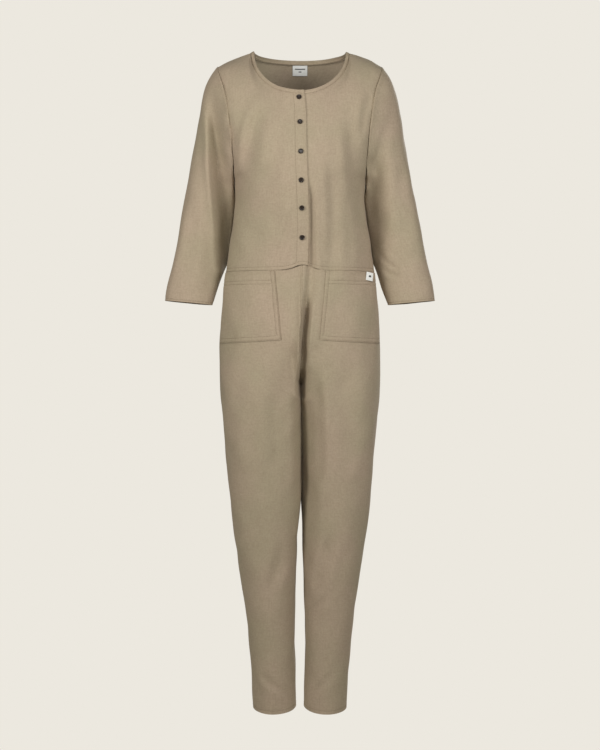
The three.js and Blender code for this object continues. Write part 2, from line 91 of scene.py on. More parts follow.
def read_grid(name):
    """A wall's outer points in metres: rows from the top down, each from left to right as
    seen from outside the wall."""
    mesh = outer_layer(name)
    row = border_from(next(v for v in mesh.verts if len(v.link_edges) == 2))
    rows, seen = [row], set(row)
    while len(seen) < len(mesh.verts):
        row = [
            next(w for w in (e.other_vert(v) for e in v.link_edges) if w not in seen)
            for v in row
        ]
        rows.append(row)
        seen.update(row)
    grid = np.array([[v.co[:] for v in r] for r in rows])
    drop = abs(grid[0, :, 2].mean() - grid[-1, :, 2].mean())
    if abs(grid[:, 0, 2].mean() - grid[:, -1, 2].mean()) > drop:
        grid = grid.transpose(1, 0, 2)
    if grid[0, :, 2].mean() < grid[-1, :, 2].mean():
        grid = grid[::-1]
    i, j = grid.shape[0] // 2, grid.shape[1] // 2
    facing = np.cross(grid[i, j] - grid[i - 1, j], grid[i, j] - grid[i, j - 1])
    middle = min(mesh.verts, key=lambda v: (v.co - Vector(grid[i, j])).length)
    middle.normal_update()
    if Vector(facing).dot(middle.normal) < 0:
        grid = grid[:, ::-1]
    mesh.free()
    return grid


# ---- Smooth surfaces through the grids -------------------------------------------------


def lengths(vectors):
    return np.linalg.norm(vectors, axis=-1, keepdims=True)


def ease(x):
    x = np.clip(x, 0, 1)
    return x * x * (3 - 2 * x)


def divisions(cells, steps):
    """Where a row of cells is divided, with more lines just inside either end."""
    marks = [n / steps for n in range(cells * steps + 1)]
    inside = [m for m in marks if BORDER_LINES[-1] < m < cells - BORDER_LINES[-1]]
    beside = [*BORDER_LINES, *(cells - line for line in BORDER_LINES)]
    return np.array(sorted([0, *beside, *inside, cells]))


def spline(points, marks, kinks):
    """Smooth curves through points along the first axis, with corners where kinks is 1."""
    gaps = np.diff(points, axis=0)
    size = np.maximum(lengths(gaps), TINY)
    course = gaps / size
    mean = (course[:-1] * size[1:] + course[1:] * size[:-1]) / (size[1:] + size[:-1])
    smooth = np.concatenate([course[:1], mean, course[-1:]])
    smooth[0] = 1.5 * course[0] - 0.5 * smooth[1]
    smooth[-1] = 1.5 * course[-1] - 0.5 * smooth[-2]
    arriving, leaving = smooth.copy(), smooth.copy()
    corner = kinks[1:-1, :, None]
    arriving[1:-1] += corner * (1.5 * course[:-1] - 0.5 * smooth[:-2] - smooth[1:-1])
    leaving[1:-1] += corner * (1.5 * course[1:] - 0.5 * smooth[2:] - smooth[1:-1])
    i = np.minimum(marks.astype(int), len(gaps) - 1)
    t = (marks - i)[:, None, None]
    bend = size[i] * (leaving[i] * t * (1 - t) ** 2 - arriving[i + 1] * t * t * (1 - t))
    return points[i] + (points[i + 1] - points[i]) * t * t * (3 - 2 * t) + bend


def corners_of(line):
    """1 at the points where a border line turns a corner, and 0 elsewhere."""
    course = np.diff(line, axis=0)
    course /= lengths(course)
    found = np.zeros(len(line))
    found[1:-1] = (course[1:] * course[:-1]).sum(axis=1) < KINK_COSINE
    return found


def fine_surface(grid, across, down):
    """The grid with its cells divided across and down, through smooth curves."""
    marks = divisions(grid.shape[1] - 1, across)
    kinks = np.zeros(grid.shape[1::-1])
    kinks[:, 0], kinks[:, -1] = corners_of(grid[0]), corners_of(grid[-1])
    rows = spline(grid.transpose(1, 0, 2), marks, kinks).transpose(1, 0, 2)
    kinks = np.outer(corners_of(grid[:, 0]), np.maximum(1 - marks, 0))
    kinks += np.outer(corners_of(grid[:, -1]), np.maximum(1 - marks[-1] + marks, 0))
    return spline(rows, divisions(grid.shape[0] - 1, down), kinks)


def normals_of(surface):
    down, right = np.gradient(surface, axis=0), np.gradient(surface, axis=1)
    normals = np.cross(down, right)
    return normals / np.maximum(lengths(normals), TINY)


def reaches_of(surface):
    """Each point's distance over the cloth to the panel's four borders."""
    step = lengths(np.diff(surface, axis=0))[..., 0]
    top = np.vstack([np.zeros(surface.shape[1]), np.cumsum(step, axis=0)])
    step = lengths(np.diff(surface, axis=1))[..., 0]
    left = np.hstack([np.zeros((surface.shape[0], 1)), np.cumsum(step, axis=1)])
    return {"top": top, "bottom": top[-1] - top, "left": left, "right": left[:, -1:] - left}


# ---- Folds -----------------------------------------------------------------------------

# A fold is a trough along a line of (x, z) places seen from the front, in millimetres. It
# is cut where the cloth faces front (-1) or back (1). widths are its reach to either side,
# towards -x and +x of a line that runs down, and ends say how much of its depth is left at
# its first and last point. A negative depth makes a ridge.
Fold = namedtuple("Fold", "cloths facing line widths depth ends")

FRONTS = ("front_bodice_right", "front_bodice_left")
TROUSERS = ("front_trouser_right", "front_trouser_left")
BACK = ("back_bodice",)
SEAT = ("back_trouser_right", "back_trouser_left")
BODY = FRONTS + TROUSERS + BACK + SEAT + ("pocket_right", "pocket_left")

FOLDS = [
    # Drag lines from the shoulders, and the looser right half of the chest
    Fold(BODY, -1, [(-76, -96), (-98, -165), (-124, -262)], (11, 17), 8.0, (0, 0)),
    Fold(BODY, -1, [(62, -205), (67, -330), (64, -436)], (9, 13), 4.2, (0, 0.6)),
    Fold(BODY, -1, [(112, -96), (104, -180), (128, -320), (141, -436)], (12, 22), 6.5, (0, 0.5)),
    Fold(BODY, -1, [(150, -60), (134, -118), (127, -175)], (8, 8), 3.6, (0, 0)),
    # Short folds that run out from the lowest button
    Fold(BODY, -1, [(-18, -335), (-34, -386), (-50, -437)], (6, 9), 3.2, (0.2, 0)),
    Fold(BODY, -1, [(-12, -368), (-24, -400), (-35, -430)], (5, 7), 2.4, (0.2, 0)),
    # The gap beside the placket, which goes on over the trousers' front seam to the crotch
    Fold(FRONTS[1:], -1, [(17, -250), (19, -370), (21, -440)], (4, 9), 8.0, (0, 1)),
    Fold(
        TROUSERS, -1, [(22, -436), (18, -484), (12, -535), (7, -590), (2, -690)],
        (7, 12), 8.0, (0.9, 1),
    ),
    Fold(
        TROUSERS, -1, [(16, -480), (10, -550), (5, -605), (2, -650), (1, -700)],
        (4.5, 7), 17.0, (0, 1),
    ),
    Fold(
        TROUSERS[1:], -1, [(6, -660), (11, -760), (11, -880), (12, -975)],
        (9, 14), 14.0, (0.3, 0.2),
    ),
    Fold(TROUSERS[:1], -1, [(-13, -600), (-11, -760), (-10, -930)], (11, 9), -4.0, (0, 0.2)),
    # Legs
    Fold(BODY, -1, [(-14, -455), (-16, -520), (-22, -600)], (7, 9), 1.8, (0, 0)),
    Fold(TROUSERS, -1, [(26, -610), (36, -720), (38, -830), (30, -930)], (14, 10), 8.0, (0.2, 0)),
    Fold(TROUSERS, -1, [(88, -600), (98, -760), (92, -900)], (20, 24), 4.6, (0, 0)),
    Fold(TROUSERS, -1, [(66, -978), (44, -1050), (22, -1118)], (9, 13), 4.8, (0, 0)),
    Fold(TROUSERS, -1, [(58, -1112), (30, -1142), (6, -1168)], (7, 9), 3.6, (0, 0.4)),
    Fold(TROUSERS, -1, [(74, -1268), (45, -1298), (14, -1332)], (6, 9), 2.4, (0, 0.4)),
    Fold(TROUSERS, -1, [(-40, -620), (-52, -740), (-46, -900)], (16, 14), 4.0, (0, 0)),
    Fold(TROUSERS, -1, [(-30, -985), (-48, -1060), (-70, -1120)], (10, 12), 3.8, (0, 0)),
    Fold(TROUSERS, -1, [(-88, -1272), (-62, -1298), (-30, -1318)], (7, 8), 2.4, (0, 0.3)),
    # Back: hanging folds from the shoulder blades, and the gather under the waist seam
    Fold(BODY, 1, [(-62, -120), (-74, -270), (-66, -437)], (14, 20), 3.8, (0, 0.6)),
    Fold(BODY, 1, [(58, -140), (66, -290), (80, -437)], (20, 14), 3.4, (0, 0.6)),
    Fold(BODY, 1, [(2, -250), (-6, -350), (4, -437)], (14, 14), 3.0, (0, 0.8)),
    Fold(BODY, 1, [(-126, -250), (-112, -330), (-118, -437)], (12, 16), 3.4, (0, 0.5)),
    Fold(BODY, 1, [(128, -262), (112, -340), (116, -437)], (16, 12), 3.2, (0, 0.5)),
    Fold(BODY, 1, [(-64, -443), (-60, -500), (-48, -560)], (12, 14), 2.6, (0.8, 0)),
    Fold(BODY, 1, [(82, -443), (76, -505), (62, -566)], (14, 12), 2.4, (0.8, 0)),
    Fold(SEAT, 1, [(0, -520), (0, -610), (0, -700)], (11, 11), 9.0, (0, 1)),
    Fold(SEAT, 1, [(-16, -690), (-58, -668), (-104, -640)], (10, 12), 4.0, (0.4, 0)),
    Fold(SEAT, 1, [(16, -694), (56, -668), (100, -646)], (10, 12), 3.6, (0.4, 0)),
    Fold(SEAT, 1, [(-24, -730), (-60, -712), (-98, -700)], (9, 11), 3.2, (0.4, 0)),
    Fold(SEAT, 1, [(24, -738), (62, -716), (94, -704)], (9, 11), 3.2, (0.4, 0)),
    Fold(SEAT, 1, [(-28, -962), (-60, -975), (-100, -958)], (9, 9), 3.2, (0.3, 0)),
    Fold(SEAT, 1, [(26, -990), (62, -1000), (102, -982)], (9, 9), 3.2, (0.3, 0)),
    Fold(SEAT, 1, [(-22, -1010), (-52, -1024), (-84, -1018)], (8, 9), 2.4, (0.2, 0)),
    Fold(SEAT, 1, [(-70, -760), (-66, -860), (-72, -940)], (16, 16), 3.0, (0, 0)),
    Fold(SEAT, 1, [(68, -780), (74, -870), (66, -960)], (16, 16), 3.0, (0, 0)),
    Fold(SEAT, 1, [(-80, -1250), (-56, -1290), (-26, -1310)], (9, 9), 2.6, (0, 0.3)),
    Fold(SEAT, 1, [(82, -1262), (54, -1296), (28, -1322)], (9, 9), 2.6, (0, 0.3)),
    # Right sleeve: the long trough behind its front crest
    Fold(
        ("sleeve_right",), -1,
        [(-184, -52), (-178, -120), (-170, -240), (-161, -330), (-155, -425)],
        (11, 19), 24.0, (0, 0.5),
    ),
    Fold(("sleeve_right",), -1, [(-222, -300), (-226, -380), (-238, -470)], (16, 12), 3.4, (0, 0)),
    Fold(("sleeve_right",), 1, [(-178, -110), (-172, -220), (-176, -340)], (20, 9), 9.0, (0, 0)),
    Fold(("sleeve_right",), 1, [(-196, -350), (-216, -366), (-240, -360)], (8, 8), 3.0, (0, 0)),
    # Left sleeve: pressed in along the bodice, with two short creases under the elbow
    Fold(("sleeve_left",), -1, [(152, -165), (150, -280), (156, -395)], (12, 20), 10.0, (0, 0.3)),
    Fold(("sleeve_left",), -1, [(168, -402), (182, -424), (204, -440)], (5, 5), 2.4, (0.5, 0)),
    Fold(("sleeve_left",), -1, [(172, -428), (188, -446), (212, -456)], (5, 5), 2.0, (0.5, 0)),
    Fold(("sleeve_left",), -1, [(208, -180), (214, -300), (226, -400)], (16, 18), 2.6, (0, 0)),
    Fold(("sleeve_left",), 1, [(180, -120), (174, -230), (178, -350)], (9, 20), 8.0, (0, 0)),
    Fold(("sleeve_left",), 1, [(194, -356), (216, -372), (242, -364)], (8, 8), 3.0, (0, 0)),
]

LIP = 0.32  # height of the crests beside a trough, as a part of its depth
LIP_PLACE = 1.9  # where they stand, in widths from its middle
LIP_WIDTH = 0.8
TAPER = 0.3  # the part of a fold's length over which either end runs out
FACING_FULL = 0.45  # how far a normal points front or back where a fold has its full depth
CALM_REACH = 28 * MM  # folds die out this near to an armhole seam

# Slow waves all over the cloth: number per metre along x, y and z, and height
WAVES = [
    ((9.1, 6.3, 2.1), 0.55), ((-7.4, 10.2, 3.7), 0.5), ((14.8, -5.1, 4.9), 0.35),
    ((3.9, 12.7, -7.3), 0.35), ((-18.3, 8.4, 5.6), 0.25), ((6.2, -15.9, 11.8), 0.22),
    ((11.6, 9.7, -16.4), 0.18), ((-24.7, -13.2, 9.3), 0.14),
]
WAVE_SHIFT = 1.7  # how far each wave starts ahead of the one before, in radians


def trough(x, z, fold):
    """Depth below the surface at (x, z) that one fold gives, below 0 on its crests."""
    line = np.array(fold.line, dtype=float)
    steps = np.hypot(*np.diff(line, axis=0).T)
    nearest = np.full(x.shape, np.inf)
    offset, along = np.zeros(x.shape), np.zeros(x.shape)
    for k, (dx, dz) in enumerate(np.diff(line, axis=0)):
        px, pz = x - line[k, 0], z - line[k, 1]
        t = np.clip((px * dx + pz * dz) / steps[k] ** 2, 0, 1)
        distance = np.hypot(px - t * dx, pz - t * dz)
        closer = distance < nearest
        nearest = np.where(closer, distance, nearest)
        side = np.sign(dx * pz - dz * px)
        offset = np.where(closer, side * distance, offset)
        along = np.where(closer, (steps[:k].sum() + t * steps[k]) / steps.sum(), along)
    u = np.abs(offset) / np.where(offset < 0, *fold.widths)
    shape = np.exp(-u * u) - LIP * np.exp(-(((u - LIP_PLACE) / LIP_WIDTH) ** 2))
    first = fold.ends[0] + (1 - fold.ends[0]) * ease(along / TAPER)
    last = fold.ends[1] + (1 - fold.ends[1]) * ease((1 - along) / TAPER)
    return fold.depth * shape * first * last


def relief(name, surface, normals):
    """How folds, pushed in from the front or back, and slow waves move a cloth, in metres."""
    x, z = surface[..., 0] / MM, surface[..., 2] / MM
    push, lift = np.zeros(x.shape), np.zeros(x.shape)
    for fold in FOLDS:
        if name in fold.cloths:
            facing = ease(normals[..., 1] * fold.facing / FACING_FULL)
            push -= fold.facing * facing * trough(x, z, fold)
    for n, (course, height) in enumerate(WAVES):
        lift += height * np.sin(2 * math.pi * (surface @ np.array(course)) + WAVE_SHIFT * n)
    moves = normals * lift[..., None]
    moves[..., 1] += push
    return moves * MM


# Under each arm the sleeve's inner side is drawn in, between TUCK_SIDE and the body
TUCK_DEPTH = 4.5 * MM
TUCK_HEIGHT = -276 * MM
TUCK_REACH = 20 * MM
TUCK_SIDE = 150 * MM
TUCK_WIDTH = 14 * MM


def underarm_tuck(surface):
    """How far a sleeve's inner side is drawn in behind the bodice under the arm, along x."""
    x, y, z = (surface[..., axis] for axis in range(3))
    level = np.exp(-(((z - TUCK_HEIGHT) / TUCK_REACH) ** 2))
    inner = ease((TUCK_SIDE - np.abs(x)) / TUCK_WIDTH) * ease(y / TUCK_WIDTH)
    return np.sign(x) * TUCK_DEPTH * level * inner


# ---- Cloth pieces ----------------------------------------------------------------------

THICKNESS = 1.2 * MM
HEM_THICKNESS = 2.0 * MM
HEM_REACH = 12 * MM
HEM_STEP = 2.5  # a hem is at full thickness over all but the last 1 / HEM_STEP of its reach
SEAM_DIP = 1.3 * MM
BODICE_DIP = 0.8 * MM  # at the seams of the bodice, the sleeves and the binding
SEAM_REACH = 3.0 * MM
SEAM_SPREAD = 0.25 * MM
SEAM_ALLOWANCE = 4.5 * MM
STITCH_DIP = 0.75 * MM
STITCH_DIP_REACH = 1.5 * MM
PUCKER_REACH = 9 * MM
SHARP_ANGLE = math.radians(60)

# Each border of a panel, and the line of points beside it
BORDER_SLICES = {
    "top": (np.s_[0], np.s_[1]),
    "bottom": (np.s_[-1], np.s_[-2]),
    "left": (np.s_[:, 0], np.s_[:, 1]),
    "right": (np.s_[:, -1], np.s_[:, -2]),
}


class Cloth:
    """One cut piece: its smooth surface, and the same surface once folded and sewn. cells
    divides each cell of its grid across and down, grain names the borders that its weave is
    measured from, calm fades the folds, and proud lifts the piece off its wall."""

    def __init__(
        self, name, cells, grain, seams, hems=(), rows=(), calm=None,
        thickness=THICKNESS, spread=SEAM_SPREAD, proud=0.0,
    ):
        self.name = name
        base = fine_surface(read_grid(name), *cells)
        normals = normals_of(base)
        moves = relief(name, base, normals)
        if name.startswith("sleeve"):
            moves[..., 0] -= underarm_tuck(base)
        if calm is not None:
            moves *= calm(base)[..., None]
        self.smooth = base
        self.outer = base + moves + normals * proud
        self.spread_borders(seams, spread)
        self.reach = reaches_of(self.outer)
        self.normals = normals_of(self.outer)
        self.flat = (self.run_across(grain[0]), self.reach[grain[1]])
        deepest = SEAM_DIP if calm is None else BODICE_DIP
        dip = deepest * ease(self.nearness(seams, SEAM_REACH))
        for row in rows:
            dip = dip + STITCH_DIP * self.beside(*row)
        self.outer = self.outer - self.normals * dip[..., None]
        near_hem = ease(HEM_STEP * self.nearness(hems, HEM_REACH))
        self.thickness = thickness + (HEM_THICKNESS - THICKNESS) * near_hem
        self.thickness[self.nearness(seams, SEAM_REACH) == 1] = SEAM_ALLOWANCE
        # where the cloth gathers at seams and hems, which is also where painted shade is laid on
        self.pucker_and_shade = self.nearness([*seams, *hems], PUCKER_REACH)
        self.rows = [self.row(*row) for row in rows]

    def spread_borders(self, borders, distance):
        """Moves the named borders out a little over the gap to the next piece."""
        for border in borders:
            edge, beside = BORDER_SLICES[border]
            out = self.outer[edge] - self.outer[beside]
            self.outer[edge] += out / lengths(out) * distance

    def run_across(self, border):
        """Distance across the cloth from its left or right border, along level lines."""
        step = lengths(np.diff(self.outer[..., :2], axis=1))[..., 0]
        run = np.hstack([np.zeros((step.shape[0], 1)), np.cumsum(step, axis=1)])
        return run if border == "left" else run - run[:, -1:]

    def beside(self, border, distance, trims=()):
        """1 on the line of a row of stitches, falling to 0 beside it."""
        near = np.exp(-(((self.reach[border] - distance) / STITCH_DIP_REACH) ** 2))
        for other, least in trims:
            near = near * (self.reach[other] > least - STITCH_DIP_REACH)
        return near

    def nearness(self, borders, reach):
        """1 at the named borders, falling to 0 at reach from them."""
        near = np.zeros(self.outer.shape[:2])
        for border in borders:
            near = np.maximum(near, 1 - np.clip(self.reach[border] / reach, 0, 1))
        return near

    def object(self, material):
        """The piece as an object, with its cut map and its gathers at seams and hems, which also
        carry a little painted shade there.
        """
        shell = thin_shell(f"cloth_{self.name}", self.outer, self.normals, self.thickness)
        shell.data.materials.append(material)
        add_cut_map(shell.data, *self.flat)
        values = np.concatenate([self.pucker_and_shade.ravel()] * 2).astype(np.float32)
        pucker_and_shade = shell.data.attributes.new("pucker_and_shade", "FLOAT", "POINT")
        pucker_and_shade.data.foreach_set("value", values)
        return shell

    def row(self, border, distance, trims=()):
        """Points and normals along a line at a distance from a border. Each trim is a
        border and the least distance from it."""
        reach, outer, normals = self.reach[border], self.outer, self.normals
        others = [self.reach[other] for other, _ in trims]
        if border in ("left", "right"):
            reach, outer, normals = reach.T, outer.swapaxes(0, 1), normals.swapaxes(0, 1)
            others = [other.T for other in others]
        order = slice(None, None, -1) if border in ("bottom", "right") else slice(None)
        points, facing = [], []
        for k in range(reach.shape[1]):
            scale = reach[order, k]
            if any(
                np.interp(distance, scale, other[order, k]) < least
                for other, (_, least) in zip(others, trims)
            ):
                continue
            points.append([np.interp(distance, scale, outer[order, k, c]) for c in range(3)])
            facing.append([np.interp(distance, scale, normals[order, k, c]) for c in range(3)])
        return np.array(points), np.array(facing)


def thin_shell(name, outer, normals, thickness):
    """A closed shell between a surface and the same surface moved in by its thickness."""
    inner = outer - normals * thickness[..., None]
    rows, columns = outer.shape[:2]
    index = np.arange(rows * columns).reshape(rows, columns)
    corners = [index[:-1, :-1], index[1:, :-1], index[1:, 1:], index[:-1, 1:]]
    front = np.stack([c.ravel() for c in corners], axis=1)
    rim = np.concatenate([index[:-1, 0], index[-1, :-1], index[:0:-1, -1], index[0, :0:-1]])
    ahead = np.roll(rim, -1)
    edge = np.stack([ahead, rim, rim + index.size, ahead + index.size], axis=1)
    faces = np.concatenate([front, front[:, ::-1] + index.size, edge])
    points = np.concatenate([outer.reshape(-1, 3), inner.reshape(-1, 3)])
    return mesh_object(name, points, faces)


def mesh_object(name, points, faces):
    mesh = bpy.data.meshes.new(name)
    mesh.from_pydata(points.tolist(), [], [tuple(f) for f in faces])
    mesh.shade_smooth()
    mesh.set_sharp_from_angle(angle=SHARP_ANGLE)
    piece = bpy.data.objects.new(name, mesh)
    bpy.context.collection.objects.link(piece)
    return piece


def add_cut_map(mesh, across, along):
    """A UV map in metres of cloth, across and along the cut piece."""
    flat = np.stack([across, along], axis=-1).reshape(-1, 2)
    flat = np.concatenate([flat, flat])
    loops = np.empty(len(mesh.loops), dtype=np.int32)
    mesh.loops.foreach_get("vertex_index", loops)
    mesh.uv_layers.new(name="cut").data.foreach_set("uv", flat[loops].ravel())


def armhole_calm(sleeves):
    """A function that is 0 at the armhole seams and 1 away from them."""
    rings = np.concatenate([read_grid(name)[0] for name in sleeves])
    tree = kdtree.KDTree(len(rings))
    for n, point in enumerate(rings):
        tree.insert(point, n)
    tree.balance()

    def calm(surface):
        distances = [tree.find(p)[2] for p in surface.reshape(-1, 3)]
        return ease(np.array(distances).reshape(surface.shape[:2]) / CALM_REACH)

    return calm


# ---- Materials -------------------------------------------------------------------------


def linear(red, green, blue):
    """A shader colour from a screen colour of 0 to 255."""
    return (*(((c / 255 + 0.055) / 1.055) ** 2.4 for c in (red, green, blue)), 1.0)


TWILL_WARM = linear(171, 153, 132)
TWILL_GREEN = linear(163, 151, 126)
TWILL_DARK = linear(147, 132, 109)
TWILL_HEATHER = (0.86, 0.85, 0.84, 1.0)
# painted shade, multiplied into the twill near seams and hems
TWILL_SEAM_SHADE = (0.9, 0.88, 0.86, 1.0)
TWILL_SHEEN = linear(226, 216, 198)
TWILL_ANGLE = math.radians(63)
THREAD_DARK = linear(112, 97, 76)
THREAD_PALE = linear(138, 122, 99)
TAPE_PALE = linear(242, 242, 237)
TAPE_SHADE = linear(224, 224, 216)
TAPE_INK = linear(52, 54, 52)
BUTTON_DARK = linear(27, 20, 14)
BUTTON_PALE = linear(48, 36, 26)
BACKGROUND = linear(236, 232, 223)
FLOOR_SHADE = 0.97


class Nodes:
    """A material's nodes, added and linked by name."""

    def __init__(self, name):
        self.material = bpy.data.materials.new(name)
        self.material.use_nodes = True
        self.tree = self.material.node_tree
        self.shader = self.tree.nodes["Principled BSDF"]

    def add(self, kind, settings=(), inputs=(), output=0):
        node = self.tree.nodes.new(kind)
        for key, value in dict(settings).items():
            setattr(node, key, value)
        for key, value in dict(inputs).items():
            self.set(node, key, value)
        return node.outputs[output]

    def set(self, node, key, value):
        if isinstance(value, bpy.types.NodeSocket):
            self.tree.links.new(value, node.inputs[key])
        else:
            node.inputs[key].default_value = value

    def finish(self, **inputs):
        for key, value in inputs.items():
            self.set(self.shader, key.replace("_", " "), value)
        return self.material

    def scaled(self, vector, scale, turn=0.0):
        inputs = {"Vector": vector, "Scale": scale, "Rotation": (0, 0, turn)}
        return self.add("ShaderNodeMapping", inputs=inputs)

    def noise(self, vector, scale, detail=2.0):
        inputs = {"Vector": vector, "Scale": scale, "Detail": detail}
        return self.add("ShaderNodeTexNoise", inputs=inputs)

    def math(self, operation, a, b):
        return self.add("ShaderNodeMath", {"operation": operation}, {0: a, 1: b})

    def mix(self, blend, factor, a, b):
        node = self.tree.nodes.new("ShaderNodeMix")
        node.data_type, node.blend_type = "RGBA", blend
        for socket, value in zip((node.inputs[0], node.inputs[6], node.inputs[7]), (factor, a, b)):
            if isinstance(value, bpy.types.NodeSocket):
                self.tree.links.new(value, socket)
            else:
                socket.default_value = value
        return node.outputs[2]

    def ramp(self, value, low, high):
        inputs = {"Value": value, "From Min": low, "From Max": high}
        return self.add("ShaderNodeMapRange", inputs=inputs)

    def bump(self, height, strength, distance, normal=None):
        inputs = {"Height": height, "Strength": strength, "Distance": distance}
        if normal is not None:
            inputs["Normal"] = normal
        return self.add("ShaderNodeBump", inputs=inputs)


def twill():
    """Washed cotton twill: a diagonal rib over fine threads, slubs and a faint heather, with a
    little painted shade near seams and hems.
    """
    nodes = Nodes("twill")
    cut = nodes.add("ShaderNodeUVMap", {"uv_map": "cut"})
    place = nodes.add("ShaderNodeTexCoord", output="Object")
    pucker_and_shade = nodes.add("ShaderNodeAttribute", {"attribute_name": "pucker_and_shade"}, output="Fac")

    rib = nodes.add(
        "ShaderNodeTexWave",
        {"bands_direction": "X"},
        {
            "Vector": nodes.scaled(cut, (1, 1, 1), TWILL_ANGLE), "Scale": 300.0,
            "Distortion": 1.2, "Detail": 2.0, "Detail Scale": 1.5,
        },
    )
    slub_across = nodes.noise(nodes.scaled(cut, (45, 900, 1)), 1.0, 3.0)
    slub_down = nodes.noise(nodes.scaled(cut, (1000, 34, 1)), 1.0, 3.0)
    threads = nodes.math("ADD", slub_across, slub_down)
    heather = nodes.noise(place, 260.0, 4.0)
    patches = nodes.noise(place, 9.0, 3.0)

    colour = nodes.mix("MIX", nodes.ramp(patches, 0.35, 0.65), TWILL_WARM, TWILL_GREEN)
    colour = nodes.mix("MIX", nodes.ramp(threads, 0.3, 1.25), TWILL_DARK, colour)
    colour = nodes.mix("MULTIPLY", nodes.ramp(heather, 0.62, 0.2), colour, TWILL_HEATHER)
    # painted shade: darkens the cloth a little near seams and hems
    colour = nodes.mix("MULTIPLY", nodes.math("MULTIPLY", pucker_and_shade, 0.3), colour, TWILL_SEAM_SHADE)

    weave = nodes.math("ADD", nodes.math("MULTIPLY", rib, 0.5), threads)
    gather = nodes.noise(nodes.scaled(cut, (110, 110, 1)), 1.0, 1.0)
    gather = nodes.math("MULTIPLY", gather, pucker_and_shade)
    crumple = nodes.noise(place, 24.0, 3.0)
    normal = nodes.bump(crumple, 0.5, 1.6 * MM)
    normal = nodes.bump(gather, 0.7, 2.2 * MM, normal)
    normal = nodes.bump(weave, 0.55, 0.16 * MM, normal)
    return nodes.finish(
        Base_Color=colour, Roughness=0.86, Normal=normal, Specular_IOR_Level=0.28,
        Sheen_Weight=0.18, Sheen_Roughness=0.45, Sheen_Tint=TWILL_SHEEN,
    )


def thread():
    """Matt sewing thread, twisted, a little darker than the cloth."""
    nodes = Nodes("thread")
    place = nodes.add("ShaderNodeTexCoord", output="Object")
    tone = nodes.ramp(nodes.noise(place, 900.0, 2.0), 0.3, 0.7)
    colour = nodes.mix("MIX", tone, THREAD_DARK, THREAD_PALE)
    normal = nodes.bump(nodes.noise(place, 2600.0, 1.0), 0.4, 0.1 * MM)
    return nodes.finish(Base_Color=colour, Roughness=0.8, Normal=normal)


def woven_tape(name, ink_places):
    """Off-white woven tape with dark woven marks, each a box of the tape's own (u, v)."""
    nodes = Nodes(name)
    cut = nodes.add("ShaderNodeUVMap", {"uv_map": "cut"})
    split = nodes.tree.nodes.new("ShaderNodeSeparateXYZ")
    nodes.tree.links.new(cut, split.inputs[0])
    ink = None
    for (left, right), (low, high) in ink_places:
        inside = nodes.math("LESS_THAN", split.outputs[0], right)
        for operation, axis, limit in (
            ("GREATER_THAN", 0, left), ("GREATER_THAN", 1, low), ("LESS_THAN", 1, high),
        ):
            test = nodes.math(operation, split.outputs[axis], limit)
            inside = nodes.math("MULTIPLY", inside, test)
        ink = inside if ink is None else nodes.math("MAXIMUM", ink, inside)
    wave = {"Vector": cut, "Scale": 520.0}
    ribs = nodes.add("ShaderNodeTexWave", {"bands_direction": "Y"}, wave)
    colour = nodes.mix("MIX", nodes.math("MULTIPLY", ribs, 0.5), TAPE_PALE, TAPE_SHADE)
    colour = nodes.mix("MIX", ink, colour, TAPE_INK)
    normal = nodes.bump(ribs, 0.5, 0.12 * MM)
    return nodes.finish(Base_Color=colour, Roughness=0.6, Normal=normal, Sheen_Weight=0.1)


def horn():
    """Dark brown polished button with faint streaks."""
    nodes = Nodes("horn")
    place = nodes.add("ShaderNodeTexCoord", output="Object")
    streaks = nodes.noise(nodes.scaled(place, (90, 90, 420)), 3.0, 3.0)
    colour = nodes.mix("MIX", nodes.ramp(streaks, 0.35, 0.7), BUTTON_DARK, BUTTON_PALE)
    scratches = nodes.noise(place, 1800.0, 2.0)
    gloss = nodes.ramp(scratches, -0.9, 3.2)
    return nodes.finish(
        Base_Color=colour, Roughness=gloss, Specular_IOR_Level=0.35,
        Normal=nodes.bump(scratches, 0.15, 0.05 * MM),
    )


def floor_paint():
    """Matt paint in the background's colour, faintly uneven."""
    nodes = Nodes("floor")
    grain = nodes.noise(nodes.add("ShaderNodeTexCoord", output="Object"), 3.0, 2.0)
    shade = (*(FLOOR_SHADE * c for c in BACKGROUND[:3]), 1.0)
    tone = nodes.mix("MIX", nodes.ramp(grain, 0.3, 0.7), BACKGROUND, shade)
    return nodes.finish(Base_Color=tone, Roughness=0.9)


# ---- Stitches --------------------------------------------------------------------------

STITCH_PITCH = 3.2 * MM
STITCH_LENGTH = 2.5 * MM
STITCH_RADIUS = 0.34 * MM
STITCH_SIDES = 6
# A stitch's rings: place along it, thickness, and height above the cloth, in radii
STITCH_RINGS = [
    (-0.5, 0.4, -0.6), (-0.3, 0.95, 0.3), (0.0, 1.1, 0.55), (0.3, 0.95, 0.3), (0.5, 0.4, -0.6),
]


def stitch_places(points, normals):
    """Middles, courses and normals of the stitches along a line of points."""
    run = np.concatenate([[0], np.cumsum(lengths(np.diff(points, axis=0))[:, 0])])
    at = np.arange(STITCH_PITCH / 2, run[-1], STITCH_PITCH)

    def sampled(values, where):
        return np.stack([np.interp(where, run, values[:, c]) for c in range(3)], axis=1)

    course = sampled(points, at + STITCH_PITCH / 4) - sampled(points, at - STITCH_PITCH / 4)
    course /= np.maximum(lengths(course), TINY)
    up = sampled(normals, at)
    up -= course * (up * course).sum(axis=1, keepdims=True)
    return sampled(points, at), course, up / lengths(up)


